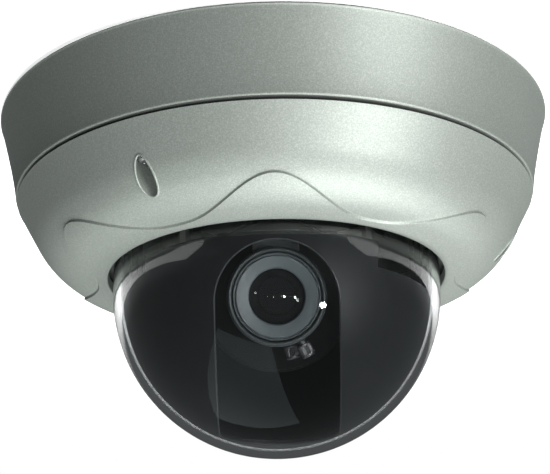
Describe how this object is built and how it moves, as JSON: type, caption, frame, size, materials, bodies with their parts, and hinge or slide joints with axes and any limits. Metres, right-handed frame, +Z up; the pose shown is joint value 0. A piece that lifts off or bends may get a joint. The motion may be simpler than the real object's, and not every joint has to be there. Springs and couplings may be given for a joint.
{
  "type": "dome security camera",
  "caption": "Ceiling-mounted vandal-resistant dome security camera: cast base and cover, clear bubble, slotted black liner and an adjustable varifocal lens on pan, tilt and roll axes.",
  "frame": {"origin": "centre of the flat face that lies against the ceiling", "axes": "+Z up, into the ceiling; the lens looks towards -Y and down; +X is to the right of a viewer in front of the camera"},
  "size_m": [0.15, 0.15, 0.0923],
  "materials": {
    "silver_paint": "fine metallic silver-grey powder paint, satin",
    "black_plastic": "moulded black",
    "lens_black": "satin dark grey",
    "clear_dome": "clear polycarbonate",
    "lens_glass": "coated",
    "rubber": "black silicone rubber",
    "steel": "stainless",
    "zinc_plate": "zinc plated",
    "circuit_board": "green solder mask",
    "chip_black": "moulded package",
    "terminal_green": "moulded terminal body",
    "button_white": "moulded white"
  },
  "bodies": {
    "housing": {"mounting_base": "silver_paint", "base_gasket": "rubber", "cable_grommet": "rubber", "main_board": "circuit_board", "board_screw_1": "steel", "board_screw_2": "steel", "board_screw_3": "steel", "network_jack": "zinc_plate", "power_terminal": "terminal_green", "capacitor_1": "chip_black", "capacitor_2": "chip_black", "processor_chip": "chip_black", "head_socket": "button_white", "reset_switch": "chip_black", "gimbal_plate": "zinc_plate", "gimbal_screw_1": "steel", "gimbal_screw_2": "steel", "gimbal_screw_3": "steel"},
    "button": {"reset_button": "button_white"},
    "cover": {"dome_cover": "silver_paint", "bubble": "clear_dome", "bubble_gasket": "rubber", "clamp_ring": "zinc_plate", "clamp_screw_1": "steel", "clamp_screw_2": "steel", "clamp_screw_3": "steel", "clamp_screw_4": "steel"},
    "cover_screw_left": {"cover_screw_1": "steel"},
    "cover_screw_right": {"cover_screw_2": "steel"},
    "cover_screw_back": {"cover_screw_3": "steel"},
    "pan_head": {"pan_turntable": "black_plastic", "pan_retainer": "zinc_plate", "tilt_yoke": "zinc_plate", "yoke_screw_left": "steel", "yoke_screw_right": "steel", "inner_liner": "black_plastic", "head_harness": "rubber"},
    "tilt_head": {"tilt_cradle": "black_plastic", "tilt_screw_left": "steel", "tilt_screw_right": "steel"},
    "camera": {"camera_housing": "black_plastic", "roll_clip": "steel", "sensor_board": "circuit_board", "image_sensor": "chip_black", "sensor_screw_left": "steel", "sensor_screw_right": "steel", "lens_collar": "zinc_plate", "lens_barrel": "lens_black", "iris_motor": "lens_black", "iris_lead": "rubber"},
    "zoom": {"zoom_ring": "lens_black"},
    "zoom_lock": {"zoom_lock_screw": "steel"},
    "focus": {"focus_ring": "lens_black", "front_bezel": "lens_black", "front_element": "lens_glass"},
    "focus_lock": {"focus_lock_screw": "steel"}
  },
  "joints": [
    {"name": "cover_removal", "type": "slide", "parent": "housing", "child": "cover", "axis": [0, 0, -1], "range_m": [0, 0.1]},
    {"name": "cover_screw_left_turn", "type": "hinge", "parent": "cover", "child": "cover_screw_left", "pos_m": [-0.031, -0.05369, -0.0298], "axis": [0, 0, -1], "continuous": true},
    {"name": "cover_screw_right_turn", "type": "hinge", "parent": "cover", "child": "cover_screw_right", "pos_m": [0.062, 0, -0.0298], "axis": [0, 0, -1], "continuous": true},
    {"name": "cover_screw_back_turn", "type": "hinge", "parent": "cover", "child": "cover_screw_back", "pos_m": [-0.031, 0.05369, -0.0298], "axis": [0, 0, -1], "continuous": true},
    {"name": "reset_press", "type": "slide", "parent": "housing", "child": "button", "axis": [0, 0, 1], "range_m": [0, 0.00025], "stiffness_N_per_m": 400, "springref_m": -0.0005},
    {"name": "pan", "type": "hinge", "parent": "housing", "child": "pan_head", "pos_m": [0, 0, -0.0155], "axis": [0, 0, 1], "range_deg": [-177, 177]},
    {"name": "tilt", "type": "hinge", "parent": "pan_head", "child": "tilt_head", "pos_m": [0, 0, -0.0486], "axis": [1, 0, 0], "range_deg": [-12, 70], "deforming": ["head_harness"]},
    {"name": "roll", "type": "hinge", "parent": "tilt_head", "child": "camera", "pos_m": [0, 0, -0.0486], "axis": [0, -0.9397, -0.342], "range_deg": [-90, 90]},
    {"name": "zoom_turn", "type": "hinge", "parent": "camera", "child": "zoom", "pos_m": [0, 0, -0.0486], "axis": [0, -0.9397, -0.342], "range_deg": [-20, 40]},
    {"name": "zoom_lock_turn", "type": "hinge", "parent": "zoom", "child": "zoom_lock", "pos_m": [0.00288, -0.01591, -0.06668], "axis": [0.2419, 0.3319, -0.9118], "continuous": true},
    {"name": "focus_turn", "type": "hinge", "parent": "camera", "child": "focus", "pos_m": [0, 0, -0.0486], "axis": [0, -0.9397, -0.342], "range_deg": [-30, 60]},
    {"name": "focus_lock_turn", "type": "hinge", "parent": "focus", "child": "focus_lock", "pos_m": [0.00573, -0.02276, -0.06859], "axis": [0.4617, 0.3034, -0.8335], "continuous": true}
  ]
}
